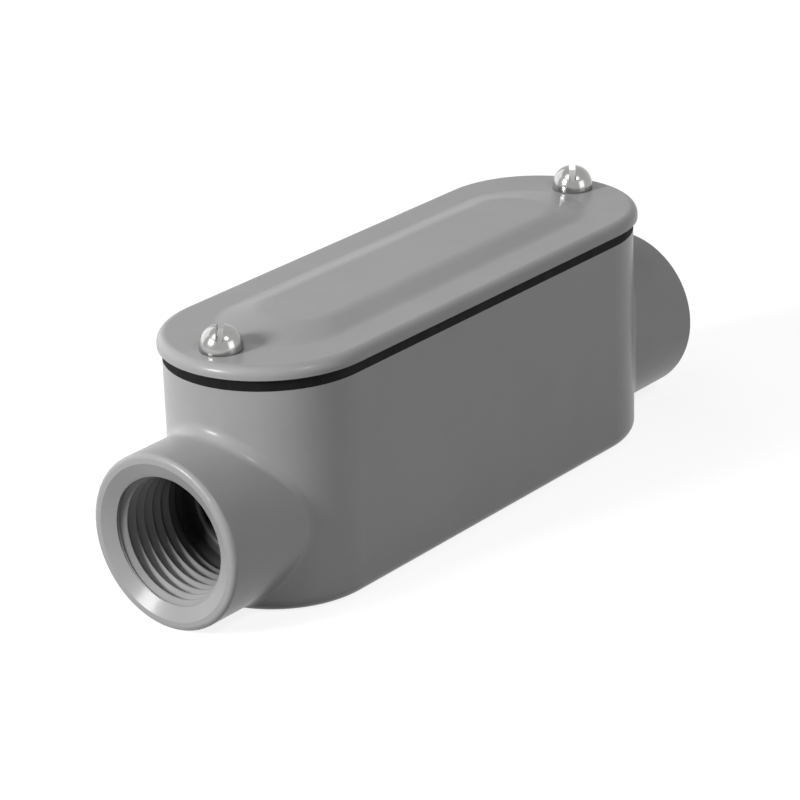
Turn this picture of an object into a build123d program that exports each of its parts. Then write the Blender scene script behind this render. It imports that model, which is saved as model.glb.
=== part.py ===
from build123d import *
import os
from math import radians, tan

# A straight-through conduit body: a cast box with fully round ends, an internally threaded
# hub at each end on one axis, and a gasketed cover held down by two captive screws.
# Millimetres. The origin is the centre of the flat back, +X runs along the conduit and
# +Z points out through the cover.

# Plan of the cover, and how far the sides of the box stand outside the hubs
cover_length = 103.6
cover_overhang = 0.75
box_side_margin = 2.5

# Heights
box_height = 36.8
gasket_thickness = 2.0
cover_thickness = 2.0

# Walls and edges of the casting
side_wall = 2.5
back_wall = 2.6
back_edge_radius = 2.3
inner_corner_radius = 2.0

# Threaded bore of a hub, at the root of its thread, and the conduit stop behind it
thread_root_radius = 10.6
countersink_angle = 60.0
stop_depth = 16.8
stop_thickness = 3.3
stop_height = 2.6
throat_lip_radius = 1.2

# Hub round that bore
hub_wall = 3.65
hub_projection = 10.0
hub_back_clearance = 0.1
hub_rim_width = 1.5
hub_rim_radius = 0.8
hub_blend_radius = 2.0
hub_inner_wall = 2.2

# Cover screws, and the tapped posts at the ends of the box that take them
screw_end_distance = 6.2
screw_radius = 2.08
screw_length = 12.7
screw_tip_chamfer = 0.5
head_radius = 3.43
head_side_height = 2.6
head_crown_height = 1.3
head_edge_radius = 0.3
slot_width = 1.14
slot_depth = 1.7
slot_angle = 37.0
post_radius = 4.4
tap_clearance = 0.05
tap_bottom_clearance = 0.8
gasket_hole_clearance = 0.1
cover_hole_clearance = 0.22

# Raised field in the middle of the cover, with the hollow under it
field_end_margin = 10.2
field_side_margin = 6.8
field_height = 1.3
field_end_slope = 8.0
field_side_slope = 4.0
field_crest_radius = 6.0
field_foot_radius = 4.0
hollow_inset = 1.0
cover_edge_radius = 1.5

# Lap of the gasket inside the rim of the box
gasket_inner_lap = 0.6

# Sizes that follow from those above
hub_radius = thread_root_radius + hub_wall
box_length = cover_length - 2 * cover_overhang
box_width = 2 * (hub_radius + box_side_margin)
cover_width = box_width + 2 * cover_overhang
cavity_length = box_length - 2 * side_wall
cavity_width = box_width - 2 * side_wall
round_end_centre = (box_length - box_width) / 2
hub_reach = box_length / 2 + hub_projection
throat_radius = thread_root_radius - stop_height
hub_axis_height = hub_radius + hub_back_clearance
countersink_radius = hub_radius - hub_rim_width
countersink_depth = (countersink_radius - thread_root_radius) / tan(radians(countersink_angle))
screw_offset = cover_length / 2 - screw_end_distance
hub_inner_end = hub_reach - stop_depth - stop_thickness
cover_bottom = box_height + gasket_thickness
cover_top = cover_bottom + cover_thickness
tapped_radius = screw_radius + tap_clearance
tapped_depth = screw_length - cover_thickness - gasket_thickness + tap_bottom_clearance
field_length = cover_length - 2 * field_end_margin
field_width = cover_width - 2 * field_side_margin

# Working values: the two ends, how far a cutter overshoots, and how near counts as on
both_ends = (-1, 1)
overshoot = 1.0
on_surface = 0.01


def stadium(length, width, height=0.0):
    """A face with fully round ends along X, centred on the Z axis at a height."""
    return Pos(0, 0, height) * SlotOverall(length, width)


def stadium_prism(length, width, bottom, top):
    return extrude(stadium(length, width, bottom), amount=top - bottom)


def at_end(shape, end):
    """The shape as drawn for the +X end, or turned half round for the -X end."""
    return shape if end > 0 else Rot(0, 0, 180) * shape


def axial_cylinder(radius, start, finish):
    """A cylinder on the hub axis from one station along X to another."""
    middle = Pos((start + finish) / 2, 0, hub_axis_height)
    return middle * Rot(0, 90, 0) * Cylinder(radius, finish - start)


def screw_hole(radius, bottom, top):
    """A drill through the +X screw position."""
    return Pos(screw_offset, 0, (bottom + top) / 2) * Cylinder(radius, top - bottom)


def post_plan():
    """Plan of the +X screw post: a round front, and straight flanks out to the end wall."""
    web_length = box_length / 2 - screw_offset
    round_front = Pos(screw_offset, 0) * Circle(post_radius)
    web = Pos(screw_offset + web_length / 2, 0) * Rectangle(web_length, 2 * post_radius)
    return round_front + web


def hub_barrel():
    """Outside of the +X hub, from inside the box out to its rounded rim."""
    barrel = axial_cylinder(hub_radius, round_end_centre, hub_reach)
    rim = barrel.edges().filter_by(GeomType.CIRCLE).sort_by(Axis.X)[-1]
    return fillet(rim, hub_rim_radius)


def hub_bore():
    """All that is cut from the +X hub: countersink, thread bore, stop and lipped throat."""
    stop = hub_reach - stop_depth
    mouth_flare = overshoot * tan(radians(countersink_angle))
    outline = Polyline(
        (hub_reach + overshoot, 0),
        (hub_reach + overshoot, countersink_radius + mouth_flare),
        (hub_reach - countersink_depth, thread_root_radius),
        (stop, thread_root_radius),
        (stop, throat_radius),
        (hub_inner_end, throat_radius),
        (hub_inner_end, thread_root_radius),
        (hub_inner_end - overshoot, thread_root_radius),
        (hub_inner_end - overshoot, 0),
        close=True,
    )
    profile = make_face(outline)
    lips = [corner for corner in profile.vertices() if abs(corner.Y - throat_radius) < on_surface]
    profile = fillet(lips, throat_lip_radius)
    return Pos(0, 0, hub_axis_height) * revolve(Plane.XZ * profile, Axis.X)


def is_hub_seam(edge):
    """True for the edges along which a hub leaves the round end of the box."""
    middle = edge @ 0.5
    from_axis = (middle.Y ** 2 + (middle.Z - hub_axis_height) ** 2) ** 0.5
    on_hub = abs(from_axis - hub_radius) < on_surface
    return on_hub and abs(middle.X) < box_length / 2 + on_surface


def blended_outside():
    """Box and hub barrels, blended where they meet, before anything is hollowed out."""
    body = stadium_prism(box_length, box_width, 0, box_height)
    body = fillet(body.edges().group_by(Axis.Z)[0], back_edge_radius)
    for end in both_ends:
        body = body + at_end(hub_barrel(), end)
    seams = [edge for edge in body.edges() if is_hub_seam(edge)]
    return fillet(seams, hub_blend_radius)


def end_core():
    """What the casting holds inside its +X end: the sleeve of the bore and the screw post."""
    sleeve_radius = thread_root_radius + hub_inner_wall
    sleeve = axial_cylinder(sleeve_radius, hub_inner_end, box_length / 2)
    post = extrude(Pos(0, 0, hub_axis_height) * post_plan(), amount=box_height - hub_axis_height)
    half_wall_out = stadium_prism(
        cavity_length + side_wall,
        cavity_width + side_wall,
        back_wall / 2,
        box_height,
    )
    return (sleeve + post) & half_wall_out


def housing():
    """The one-piece casting."""
    cavity = stadium_prism(cavity_length, cavity_width, back_wall, box_height + overshoot)
    cavity = fillet(cavity.edges().group_by(Axis.Z)[0], inner_corner_radius)
    body = blended_outside() - cavity
    for end in both_ends:
        body = body + at_end(end_core(), end)
        body = body - at_end(hub_bore(), end)
        tapped_hole = screw_hole(tapped_radius, box_height - tapped_depth, box_height + overshoot)
        body = body - at_end(tapped_hole, end)
    return body


def gasket():
    """Flat rubber ring on the rim, widened round both screw holes."""
    outline = stadium(box_length, box_width)
    window = stadium(cavity_length - 2 * gasket_inner_lap, cavity_width - 2 * gasket_inner_lap)
    hole = Pos(screw_offset, 0) * Circle(screw_radius + gasket_hole_clearance)
    ring = outline - window
    for end in both_ends:
        ring = ring + at_end(post_plan() & outline, end)
        ring = ring - at_end(hole, end)
    return extrude(Pos(0, 0, box_height) * ring, amount=gasket_thickness)


def sloped_field(bottom, inset):
    """A low stadium with sloped flanks: the raised field, or set in, the hollow under it."""
    length = field_length - 2 * inset
    width = field_width - 2 * inset
    foot = stadium(length, width, bottom)
    crest = stadium(length - 2 * field_end_slope, width - 2 * field_side_slope, bottom + field_height)
    return loft([foot, crest])


def cover():
    """Cast cover: flat plate with rounded edges and a raised, sloped field."""
    body = stadium_prism(cover_length, cover_width, cover_bottom, cover_top)
    body = fillet(body.edges().group_by(Axis.Z)[-1], cover_edge_radius)
    raised = sloped_field(cover_top, 0)
    raised = fillet(raised.edges().group_by(Axis.Z)[-1], field_crest_radius)
    body = body + raised
    on_top = body.edges().filter_by_position(Axis.Z, cover_top, cover_top)
    flat_half_width = cover_width / 2 - cover_edge_radius
    foot = [edge for edge in on_top if edge.bounding_box().max.Y < flat_half_width - on_surface]
    body = fillet(foot, field_foot_radius)
    body = body - sloped_field(cover_bottom, hollow_inset)
    hole_radius = screw_radius + cover_hole_clearance
    for end in both_ends:
        hole = screw_hole(hole_radius, cover_bottom - overshoot, cover_top + overshoot)
        body = body - at_end(hole, end)
    return body


def screw_head():
    """Fillister head: an upright side with a low crown over it, slotted across."""
    head_height = head_side_height + head_crown_height
    side = Polyline((0, head_side_height), (0, 0), (head_radius, 0), (head_radius, head_side_height))
    cap_radius = (head_radius ** 2 + head_crown_height ** 2) / (2 * head_crown_height)
    crown = RadiusArc((0, head_height), (head_radius, head_side_height), cap_radius)
    profile = make_face([side, crown, Line((0, head_height), (0, head_side_height))])
    shoulder = profile.vertices().sort_by_distance((head_radius, head_side_height))[0]
    blank = revolve(Plane.XZ * fillet(shoulder, head_edge_radius), Axis.Z)
    slot = Pos(0, 0, head_height - slot_depth / 2) * Box(4 * head_radius, slot_width, slot_depth)
    return blank - Rot(0, 0, slot_angle) * slot


def cover_screw(end):
    """Slotted screw, seated on the cover."""
    shank = Pos(0, 0, -screw_length / 2) * Cylinder(screw_radius, screw_length)
    shank = chamfer(shank.edges().group_by(Axis.Z)[0], screw_tip_chamfer)
    return Pos(end * screw_offset, 0, cover_top) * (screw_head() + shank)


nodes = {
    "housing": housing(),
    "gasket": gasket(),
    "cover": cover(),
    "cover_screw_front": cover_screw(-1),
    "cover_screw_back": cover_screw(1),
}
os.makedirs("parts", exist_ok=True)
for name, shape in nodes.items():
    export_step(shape, f"parts/{name}.step")
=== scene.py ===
from math import cos, pi, radians, sin, tan

import bmesh
import bpy
from mathutils import Matrix, Vector


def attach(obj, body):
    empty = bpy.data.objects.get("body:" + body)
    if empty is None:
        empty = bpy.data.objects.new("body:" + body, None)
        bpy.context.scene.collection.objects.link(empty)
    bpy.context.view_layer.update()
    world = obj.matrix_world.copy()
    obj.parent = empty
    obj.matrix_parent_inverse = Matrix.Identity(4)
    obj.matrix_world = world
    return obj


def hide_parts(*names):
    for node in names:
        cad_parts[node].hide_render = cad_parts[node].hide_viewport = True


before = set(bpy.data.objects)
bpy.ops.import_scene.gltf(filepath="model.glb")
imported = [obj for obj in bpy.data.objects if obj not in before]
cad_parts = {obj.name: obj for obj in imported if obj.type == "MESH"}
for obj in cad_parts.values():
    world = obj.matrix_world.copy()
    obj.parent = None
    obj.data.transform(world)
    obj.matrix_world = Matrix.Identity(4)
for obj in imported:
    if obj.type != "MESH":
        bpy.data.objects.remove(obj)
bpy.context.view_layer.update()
scene = bpy.context.scene
mm = 0.001

# Sizes shared with the solids, in millimetres
hub_mouth = 61.05
hub_axis_height = 14.35
countersink_radius = 12.75
countersink_slope = tan(radians(60))
bore_radius = 10.6
stop_depth = 16.8
screw_offset = 45.6
cover_top = 40.8

# Tapered pipe thread inside each hub, at depths measured from the mouth
pipe_pitch = 25.4 / 14
pipe_taper = 1 / 32
pipe_height = 0.85
pipe_start = 1.0
pipe_end = 15.0
pipe_around = 160
pipe_profile = [
    (0.00, 0.03), (0.04, 0.0), (0.08, 0.03), (0.13, 0.12),
    (0.42, 0.87), (0.46, 0.96), (0.50, 1.0), (0.54, 1.0),
    (0.58, 0.96), (0.62, 0.87), (0.91, 0.12), (1.00, 0.03),
]

# How the ridges grow in from the mouth and fade out before the stop
first_ridge_depth = 1.2
first_ridge_share = 0.55
ridge_growth_length = 4
ridge_fade_length = 2.2
ridge_fade_margin = 0.4
ridge_tail_length = 0.7

# How the ring that carries the thread lies against the solid wall
skin_over_bore = 0.02
sunk_at_mouth = 0.06
sunk_in_wall = 0.15
sunk_in_stop = 0.05

# Cover screws: a round slotted head, a plain neck, and a 32 turns per inch thread
head_radius = 3.43
head_height = 3.9
head_fullness = 2 / 2.3
head_steps = 24
seat_edge = [(0.0, 0.12), (0.04, 0.04), (0.13, 0.0)]
slot_width = 1.14
slot_depth = 1.7
slot_corner = 0.15
slot_angle = radians(37)
slot_overshoot = 1
neck_radius = 1.66
neck_length = 4.6
neck_collar = 0.25
neck_relief = 0.15
screw_around = 96
screw_radius = 2.05
screw_length = 12.7
screw_pitch = 25.4 / 32
screw_height = 0.42
run_in_step = 0.02
run_in_slope = 0.75
tip_chamfer = 0.62
screw_profile = [
    (0.0, 1.0), (0.06, 1.0), (0.12, 0.93), (0.46, 0.08),
    (0.53, 0.0), (0.60, 0.08), (0.94, 0.93), (1.0, 1.0),
]

# Meshing: points that count as one, edges that count as sharp, and the softened screw edges
same_point = 2e-7
sharp_angle = radians(40)
screw_sharp_angle = radians(35)
softening = 0.09
softening_steps = 3
softened_above = 0.4


# Meshes

def mark_sharp(bm, angle):
    """Shades all faces smooth, with a hard line along every edge sharper than the angle."""
    for face in bm.faces:
        face.smooth = True
    for edge in bm.edges:
        edge.smooth = not is_sharp(edge, angle)


def is_sharp(edge, angle):
    return len(edge.link_faces) == 2 and edge.calc_face_angle(0) > angle


def new_object(name, vertices, faces):
    """A closed mesh object in metres from millimetre points, faces turned outward."""
    mesh = bpy.data.meshes.new(name)
    bm = bmesh.new()
    points = [bm.verts.new(Vector(v) * mm) for v in vertices]
    for face in faces:
        corners = list(dict.fromkeys(face))
        if len(corners) > 2:
            bm.faces.new([points[i] for i in corners])
    bmesh.ops.remove_doubles(bm, verts=bm.verts, dist=same_point)
    bmesh.ops.recalc_face_normals(bm, faces=bm.faces)
    mark_sharp(bm, sharp_angle)
    bm.to_mesh(mesh)
    bm.free()
    thing = bpy.data.objects.new(name, mesh)
    scene.collection.objects.link(thing)
    return thing


def between(points, x):
    """Height at x of a polyline of (x, y) points that spans it."""
    for (x0, y0), (x1, y1) in zip(points, points[1:]):
        if x <= x1:
            return y0 + (y1 - y0) * (x - x0) / (x1 - x0)


def helical_skin(pitch, profile, start, finish, around, radius_at):
    """A helical surface about +X, with its rows running along the helix.

    profile is one pitch of (phase, height); radius_at(station, height) gives the radius.
    Returns the points, the faces, and the point numbers of the first and last ring.
    """
    rows = profile[:-1]
    count = len(rows)
    spare_turns = 2
    first = int(start / pitch - spare_turns) * count
    last = int(finish / pitch + spare_turns + 1) * count
    vertices = []
    for i in range(around):
        angle = 2 * pi * i / around
        for q in range(first, last + 1):
            phase = rows[q % count][0]
            station = ((q // count) + phase + i / around) * pitch
            station = min(max(station, start), finish)
            turns = station / pitch - i / around
            height = between(profile, turns % 1)
            radius = radius_at(station, height)
            vertices.append((station, radius * cos(angle), radius * sin(angle)))
    length = last - first + 1

    def number(i, q):
        if i == around:
            i, q = 0, min(q + count, last)
        return i * length + (q - first)

    faces = []
    for i in range(around):
        for q in range(first, last):
            corners = (number(i, q), number(i + 1, q), number(i + 1, q + 1), number(i, q + 1))
            faces.append(corners)
    low = [number(i, first) for i in range(around)]
    high = [number(i, last) for i in range(around)]
    return vertices, faces, low, high


def add_ring(vertices, around, station, radius):
    """Adds a ring of points about +X and returns their numbers."""
    start = len(vertices)
    for i in range(around):
        angle = 2 * pi * i / around
        vertices.append((station, radius * cos(angle), radius * sin(angle)))
    return list(range(start, start + around))


def bridge(faces, rings):
    """Adds the bands of faces that join each ring of points to the next."""
    for one, other in zip(rings, rings[1:]):
        for i in range(len(one)):
            j = (i + 1) % len(one)
            faces.append((one[i], one[j], other[j], other[i]))


def pipe_radius(depth, height):
    """Inner radius of the hub thread at a depth, for a profile height from 0 to 1."""
    root = bore_radius - skin_over_bore - (depth - pipe_start) * pipe_taper
    grown = first_ridge_share + (depth - first_ridge_depth) / ridge_growth_length
    run_in = min(1.0, max(0.0, grown))
    left = (pipe_end - ridge_fade_margin - depth) / ridge_fade_length
    run_out = min(1.0, max(0.0, left))
    inner = root - height * pipe_height * run_in * run_out
    mouth = countersink_radius + sunk_at_mouth - depth * countersink_slope
    return max(inner, mouth)


def pipe_thread(name, end):
    """Closed ring carrying the internal thread of one hub, turned into place at that end."""
    vertices, faces, low, high = helical_skin(
        pipe_pitch, pipe_profile, pipe_start, pipe_end, pipe_around, pipe_radius,
    )
    tail_radius = pipe_radius(pipe_end, 1.0)
    back_radius = bore_radius + sunk_in_wall
    front_radius = pipe_radius(pipe_start, 0.0) + sunk_in_wall
    outline = [
        (pipe_end + ridge_tail_length, tail_radius),
        (stop_depth + sunk_in_stop, tail_radius),
        (stop_depth + sunk_in_stop, back_radius),
        (pipe_start, front_radius),
    ]
    rings = [add_ring(vertices, pipe_around, depth, radius) for depth, radius in outline]
    bridge(faces, [high, *rings, low])
    thing = new_object(name, vertices, faces)
    turn = Matrix.Rotation(pi, 4, "Z") if end > 0 else Matrix.Identity(4)
    place = Matrix.Translation((-hub_mouth * mm, 0, hub_axis_height * mm))
    thing.data.transform(turn @ place)
    return thing


def head_outline():
    """Half outline of the screw head as (radius, height), from beside the axis to the seat."""
    points = []
    for k in range(1, head_steps):
        angle = pi / 2 * k / head_steps
        radius = head_radius * sin(angle) ** head_fullness
        points.append((radius, head_height * cos(angle) ** head_fullness))
    return points + [(head_radius - inset, height) for inset, height in seat_edge]


def slot_cutter():
    """The bar that cuts the driver slot, its lower corners chamfered."""
    half = slot_width / 2
    reach = head_radius * 1.5
    bottom = head_height - slot_depth
    top = head_height + slot_overshoot
    section = [
        (-half, top), (-half, bottom + slot_corner), (-half + slot_corner, bottom),
        (half - slot_corner, bottom), (half, bottom + slot_corner), (half, top),
    ]
    vertices = [(x, y, z) for x in (-reach, reach) for y, z in section]
    size = len(section)
    near = list(range(size))
    far = list(range(size, 2 * size))
    faces = [tuple(near), tuple(reversed(far))]
    bridge(faces, [near, far])
    thing = new_object("slot_cutter", vertices, faces)
    thing.data.transform(Matrix.Rotation(slot_angle, 4, "Z"))
    return thing


def cut_slot(thing):
    """Takes the driver slot out of the screw's mesh."""
    cutter = slot_cutter()
    cut = thing.modifiers.new("slot", "BOOLEAN")
    cut.operation = "DIFFERENCE"
    cut.solver = "EXACT"
    cut.object = cutter
    bpy.context.view_layer.update()
    evaluated = thing.evaluated_get(bpy.context.evaluated_depsgraph_get())
    shaped = bpy.data.meshes.new_from_object(evaluated)
    thing.modifiers.clear()
    whole = thing.data
    thing.data = shaped
    shaped.name = thing.name
    bpy.data.meshes.remove(whole)
    bpy.data.objects.remove(cutter)


def soften_head(thing):
    """Rounds the sharp edges above the neck, and shades the rest smooth."""
    bm = bmesh.new()
    bm.from_mesh(thing.data)
    bmesh.ops.remove_doubles(bm, verts=bm.verts, dist=same_point)
    sharp = []
    for edge in bm.edges:
        high = all(v.co.z > softened_above * mm for v in edge.verts)
        if high and is_sharp(edge, screw_sharp_angle):
            sharp.append(edge)
    bmesh.ops.bevel(
        bm, geom=sharp, offset=softening * mm, offset_type="OFFSET", segments=softening_steps,
        profile=0.5, affect="EDGES", clamp_overlap=True,
    )
    mark_sharp(bm, screw_sharp_angle)
    bm.to_mesh(thing.data)
    bm.free()


def screw_thread_radius(station, height):
    """Radius of the screw's thread at a station below the seat, from run-in to tip."""
    outer = screw_radius - screw_height * (1 - height)
    tip = screw_radius - tip_chamfer + (screw_length - station)
    run_in = neck_radius + run_in_step + max(0.0, station - neck_length) * run_in_slope
    return min(outer, tip, run_in)


def cover_screw(name, end):
    """One closed mesh: slotted round head, neck, thread and chamfered tip."""
    vertices, faces, low, high = helical_skin(
        screw_pitch, screw_profile, neck_length, screw_length, screw_around, screw_thread_radius,
    )
    outline = [(-height, radius) for radius, height in head_outline()]
    outline += [
        (0.0, neck_radius + neck_collar),
        (neck_collar, neck_radius),
        (neck_length - neck_relief, neck_radius),
    ]
    rings = [add_ring(vertices, screw_around, station, radius) for station, radius in outline]
    bridge(faces, [*rings, low])
    pole = len(vertices)
    vertices.append((-head_height, 0, 0))
    for i in range(screw_around):
        faces.append((pole, rings[0][(i + 1) % screw_around], rings[0][i]))
    faces.append(tuple(high))
    thing = new_object(name, vertices, faces)
    upright = Matrix(((0, 0, 1, 0), (0, 1, 0, 0), (-1, 0, 0, 0), (0, 0, 0, 1)))
    thing.data.transform(upright)
    cut_slot(thing)
    soften_head(thing)
    thing.data.transform(Matrix.Translation((end * screw_offset * mm, 0, cover_top * mm)))
    return thing


# Shader nodes

def empty_tree(owner):
    """Node tree of a material or world, with nothing in it."""
    owner.use_nodes = True
    owner.node_tree.nodes.clear()
    return owner.node_tree


def noise(tree, scale, detail, roughness=0.5):
    """Noise fixed to the object, about 0.2 to 0.8."""
    place = tree.nodes.new("ShaderNodeTexCoord")
    made = tree.nodes.new("ShaderNodeTexNoise")
    made.inputs["Scale"].default_value = scale
    made.inputs["Detail"].default_value = detail
    made.inputs["Roughness"].default_value = roughness
    tree.links.new(place.outputs["Object"], made.inputs["Vector"])
    return made.outputs["Fac"]


def remap(tree, value, low, high, from_low=0.1, from_high=0.9):
    """The value turned into low at from_low and high at from_high, and kept between them."""
    made = tree.nodes.new("ShaderNodeMapRange")
    made.inputs["From Min"].default_value = from_low
    made.inputs["From Max"].default_value = from_high
    made.inputs["To Min"].default_value = low
    made.inputs["To Max"].default_value = high
    tree.links.new(value, made.inputs["Value"])
    return made.outputs["Result"]


def two_tone(tree, value, one, other):
    """Colour that drifts between two colours with the value."""
    ramp = tree.nodes.new("ShaderNodeValToRGB")
    ramp.color_ramp.elements[0].position = 0.1
    ramp.color_ramp.elements[1].position = 0.9
    ramp.color_ramp.elements[0].color = (*one, 1)
    ramp.color_ramp.elements[1].color = (*other, 1)
    tree.links.new(value, ramp.inputs["Fac"])
    return ramp.outputs["Color"]


def bump(tree, height, strength, distance, normal=None):
    made = tree.nodes.new("ShaderNodeBump")
    made.inputs["Strength"].default_value = strength
    made.inputs["Distance"].default_value = distance
    tree.links.new(height, made.inputs["Height"])
    if normal:
        tree.links.new(normal, made.inputs["Normal"])
    return made.outputs["Normal"]


def number_math(tree, operation, one, other):
    made = tree.nodes.new("ShaderNodeMath")
    made.operation = operation
    tree.links.new(one, made.inputs[0])
    tree.links.new(other, made.inputs[1])
    return made.outputs[0]


def vector_math(tree, operation, value, constant):
    made = tree.nodes.new("ShaderNodeVectorMath")
    made.operation = operation
    made.inputs[1].default_value = constant
    tree.links.new(value, made.inputs[0])
    return made.outputs["Vector"]


def vector_length(tree, value):
    made = tree.nodes.new("ShaderNodeVectorMath")
    made.operation = "LENGTH"
    tree.links.new(value, made.inputs[0])
    return made.outputs["Value"]


def mixed_shader(tree, share, one, other):
    """The first shader where share is 0 and the second where it is 1."""
    made = tree.nodes.new("ShaderNodeMixShader")
    tree.links.new(share, made.inputs[0])
    tree.links.new(one.outputs[0], made.inputs[1])
    tree.links.new(other.outputs[0], made.inputs[2])
    return made


def seen_share(tree):
    """1 for rays from the camera, off gloss or through glass, and 0 for those that light."""
    path = tree.nodes.new("ShaderNodeLightPath")
    camera_ray = path.outputs["Is Camera Ray"]
    seen = number_math(tree, "MAXIMUM", camera_ray, path.outputs["Is Glossy Ray"])
    return number_math(tree, "MAXIMUM", seen, path.outputs["Is Transmission Ray"])


# Materials

def material(name):
    """A material, its node tree and its empty principled shader."""
    made = bpy.data.materials.new(name)
    tree = empty_tree(made)
    output = tree.nodes.new("ShaderNodeOutputMaterial")
    shader = tree.nodes.new("ShaderNodeBsdfPrincipled")
    tree.links.new(shader.outputs[0], output.inputs[0])
    return made, tree, shader


def hub_painted_shade_share(tree):
    """Share of painted shade: 0 outside and at the mouths of the hubs, rising to 1 deep inside,
    where the colour is darkened to stand in for shade.
    """
    place = tree.nodes.new("ShaderNodeTexCoord")
    axis = (0, 0, hub_axis_height * mm)
    centred = vector_math(tree, "SUBTRACT", place.outputs["Object"], axis)
    radius = vector_length(tree, vector_math(tree, "MULTIPLY", centred, (0, 1, 1)))
    reach = vector_length(tree, vector_math(tree, "MULTIPLY", centred, (1, 0, 0)))
    # where the painted shade is full and where it has faded out, by distance from the hub axis and
    # along it
    full_shade_radius = (bore_radius + 0.3) * mm
    unshaded_radius = (bore_radius + 0.6) * mm
    near_axis = remap(tree, radius, 1.0, 0.0, full_shade_radius, unshaded_radius)
    full_shade_reach = (hub_mouth - 16) * mm
    unshaded_reach = (hub_mouth - 7) * mm
    deep = remap(tree, reach, 1.0, 0.0, full_shade_reach, unshaded_reach)
    return number_math(tree, "MULTIPLY", near_axis, deep)


def enamel(name, colours, roughness, wave, grain):
    """Grey gloss enamel over the casting, darkened deep inside the hubs by painted shade."""
    made, tree, shader = material(name)
    spray = two_tone(tree, noise(tree, scale=90, detail=4.0, roughness=0.6), *colours)
    shade_cloud = noise(tree, scale=700, detail=3.0, roughness=0.6)
    # painted shade: near-black tones that stand in for the shade deep inside the hubs
    painted_shade_tone = two_tone(tree, shade_cloud, (0.060, 0.060, 0.059), (0.095, 0.095, 0.093))
    shade_mix = tree.nodes.new("ShaderNodeMix")
    shade_mix.data_type = "RGBA"
    tree.links.new(hub_painted_shade_share(tree), shade_mix.inputs["Factor"])
    tree.links.new(spray, shade_mix.inputs["A"])
    tree.links.new(painted_shade_tone, shade_mix.inputs["B"])
    tree.links.new(shade_mix.outputs["Result"], shader.inputs["Base Color"])
    gloss = remap(tree, noise(tree, scale=160, detail=3.0), *roughness)
    tree.links.new(gloss, shader.inputs["Roughness"])
    waves = noise(tree, scale=420, detail=2.0, roughness=0.4)
    swell = bump(tree, waves, wave, distance=0.00012)
    grains = noise(tree, scale=2200, detail=3.0, roughness=0.6)
    fine = bump(tree, grains, grain, distance=0.00002, normal=swell)
    tree.links.new(fine, shader.inputs["Normal"])
    shader.inputs["Specular IOR Level"].default_value = 0.18
    shader.inputs["Coat Weight"].default_value = 0.10
    shader.inputs["Coat Roughness"].default_value = 0.14
    return made


def rubber():
    """Matt black sheet rubber."""
    made, tree, shader = material("gasket_rubber")
    cloud = noise(tree, scale=900, detail=4.0, roughness=0.6)
    black_tones = two_tone(tree, cloud, (0.003, 0.003, 0.003), (0.007, 0.007, 0.007))
    tree.links.new(black_tones, shader.inputs["Base Color"])
    matt = remap(tree, noise(tree, scale=500, detail=2.0), 0.72, 0.92)
    tree.links.new(matt, shader.inputs["Roughness"])
    skin = bump(tree, noise(tree, scale=3000, detail=3.0), strength=0.35, distance=0.00004)
    tree.links.new(skin, shader.inputs["Normal"])
    shader.inputs["Specular IOR Level"].default_value = 0.15
    return made


def bright_steel():
    """Bright plated steel."""
    made, tree, shader = material("screw_steel")
    cloud = noise(tree, scale=500, detail=3.0, roughness=0.6)
    plating = two_tone(tree, cloud, (0.29, 0.29, 0.285), (0.38, 0.38, 0.375))
    tree.links.new(plating, shader.inputs["Base Color"])
    gloss = remap(tree, noise(tree, scale=1400, detail=3.0), 0.12, 0.22)
    tree.links.new(gloss, shader.inputs["Roughness"])
    skin = bump(tree, noise(tree, scale=2600, detail=2.0), strength=0.12, distance=0.00003)
    tree.links.new(skin, shader.inputs["Normal"])
    shader.inputs["Metallic"].default_value = 1.0
    return made


def grey(level):
    return (level, level, level)


def dress(thing, finish):
    thing.data.materials.clear()
    thing.data.materials.append(finish)


casting = enamel("enamel_grey", (grey(0.258), grey(0.292)), (0.285, 0.375), wave=0.08, grain=0.04)
threaded = enamel("enamel_thread", (grey(0.235), grey(0.300)), (0.29, 0.42), wave=0.35, grain=0.15)
steel = bright_steel()
for node, finish in (("housing", casting), ("cover", casting), ("gasket", rubber())):
    dress(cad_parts[node], finish)

# Added pieces
for end, side in ((-1, "front"), (1, "back")):
    thread = pipe_thread(f"pipe_thread_{side}", end)
    dress(thread, threaded)
    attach(thread, "housing")
    screw = cover_screw(f"slotted_screw_{side}", end)
    dress(screw, steel)
    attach(screw, f"{side}_screw")
    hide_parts(f"cover_screw_{side}")


# Floor, lights and world, in metres

def stage_floor(size):
    """White floor that still takes the object's shadow."""
    mesh = bpy.data.meshes.new("floor")
    corners = [(-size, -size, 0), (size, -size, 0), (size, size, 0), (-size, size, 0)]
    mesh.from_pydata(corners, [], [(0, 1, 2, 3)])
    floor = bpy.data.objects.new("floor", mesh)
    scene.collection.objects.link(floor)
    made = bpy.data.materials.new("floor_white")
    tree = empty_tree(made)
    output = tree.nodes.new("ShaderNodeOutputMaterial")
    diffuse = tree.nodes.new("ShaderNodeBsdfDiffuse")
    diffuse.inputs["Color"].default_value = (*grey(0.26), 1)
    glow = tree.nodes.new("ShaderNodeEmission")
    place = tree.nodes.new("ShaderNodeTexCoord")
    away = vector_length(tree, place.outputs["Object"])
    brightness = remap(tree, away, 0.85, 1.0, from_low=0.2, from_high=0.7)
    tree.links.new(brightness, glow.inputs["Strength"])
    lit = tree.nodes.new("ShaderNodeAddShader")
    tree.links.new(diffuse.outputs[0], lit.inputs[0])
    tree.links.new(glow.outputs[0], lit.inputs[1])
    mix = mixed_shader(tree, seen_share(tree), diffuse, lit)
    tree.links.new(mix.outputs[0], output.inputs[0])
    mesh.materials.append(made)


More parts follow.
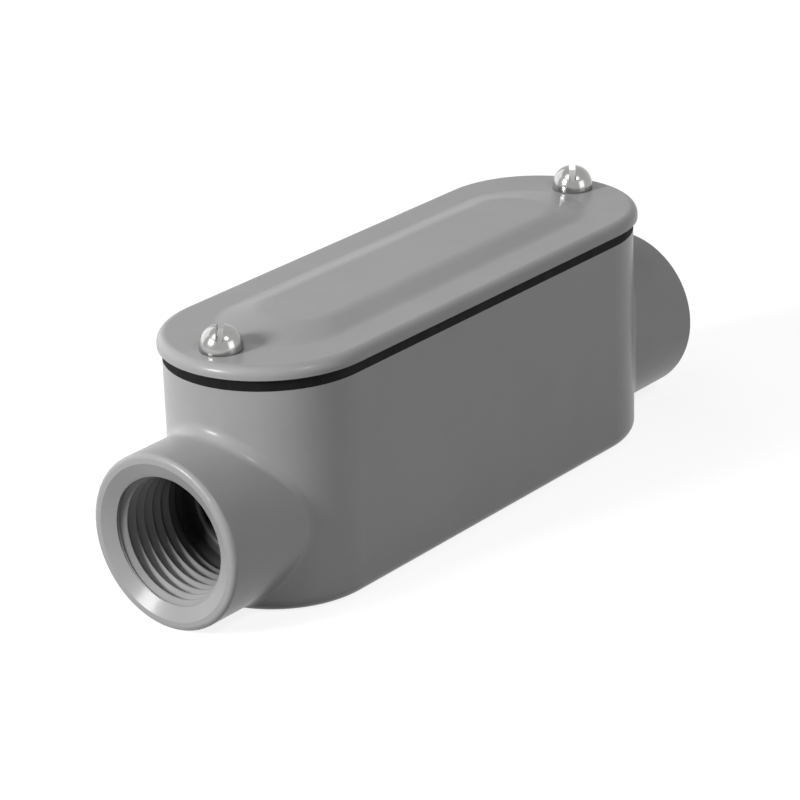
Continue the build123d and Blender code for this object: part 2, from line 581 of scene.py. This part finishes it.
def stage_world(ambient):
    """White world where it is seen, and a dim fill where it lights."""
    world = bpy.data.worlds.new("studio")
    scene.world = world
    tree = empty_tree(world)
    output = tree.nodes.new("ShaderNodeOutputWorld")
    white = tree.nodes.new("ShaderNodeBackground")
    white.inputs["Strength"].default_value = 1.0
    white.inputs["Color"].default_value = (1, 1, 1, 1)
    fill = tree.nodes.new("ShaderNodeBackground")
    fill.inputs["Strength"].default_value = ambient
    mix = mixed_shader(tree, seen_share(tree), fill, white)
    tree.links.new(mix.outputs[0], output.inputs[0])


def lamp(name, direction, distance, size, power):
    """A square soft light that looks at the middle of the object."""
    target = Vector((0, 0, 0.02))
    toward = Vector(direction).normalized()
    data = bpy.data.lights.new(name, "AREA")
    data.shape = "SQUARE"
    data.size = size
    data.energy = power
    light = bpy.data.objects.new(name, data)
    scene.collection.objects.link(light)
    light.location = target + toward * distance
    light.rotation_euler = toward.to_track_quat("Z", "Y").to_euler()


stage_floor(size=6.0)
stage_world(ambient=0.02)
lamp("key", (-0.87, 0.28, 0.42), distance=0.9, size=0.22, power=9.0)
lamp("top_left", (-0.5, 0.1, 0.85), distance=0.9, size=0.50, power=1.6)
lamp("back_rim", (0.0, 1.0, 0.3), distance=0.9, size=0.90, power=3.0)
lamp("front_high", (-0.1, -0.66, 0.75), distance=0.9, size=0.16, power=1.9)
lamp("front_fill", (0.1, -1.0, 0.2), distance=1.1, size=0.60, power=2.3)

# Camera at the photograph's place: where it stands, and its right, up and back directions
camera_place = Vector((-0.39069, -0.31340, 0.22021))
right = Vector((0.6160, -0.7872, -0.0300))
up = Vector((0.3116, 0.2085, 0.9270))
back = Vector((-0.7235, -0.5804, 0.3738))
camera_data = bpy.data.cameras.new("camera")
camera_data.sensor_width = 36.0
camera_data.lens = 148.72
camera_data.shift_x = -0.01487
camera_data.shift_y = -0.00917
camera_data.clip_start = 0.01
camera_data.clip_end = 20.0
camera = bpy.data.objects.new("camera", camera_data)
scene.collection.objects.link(camera)
turned = Matrix((right, up, back)).transposed().to_4x4()
camera.matrix_world = Matrix.Translation(camera_place) @ turned
scene.camera = camera
scene.view_settings.view_transform = "Standard"
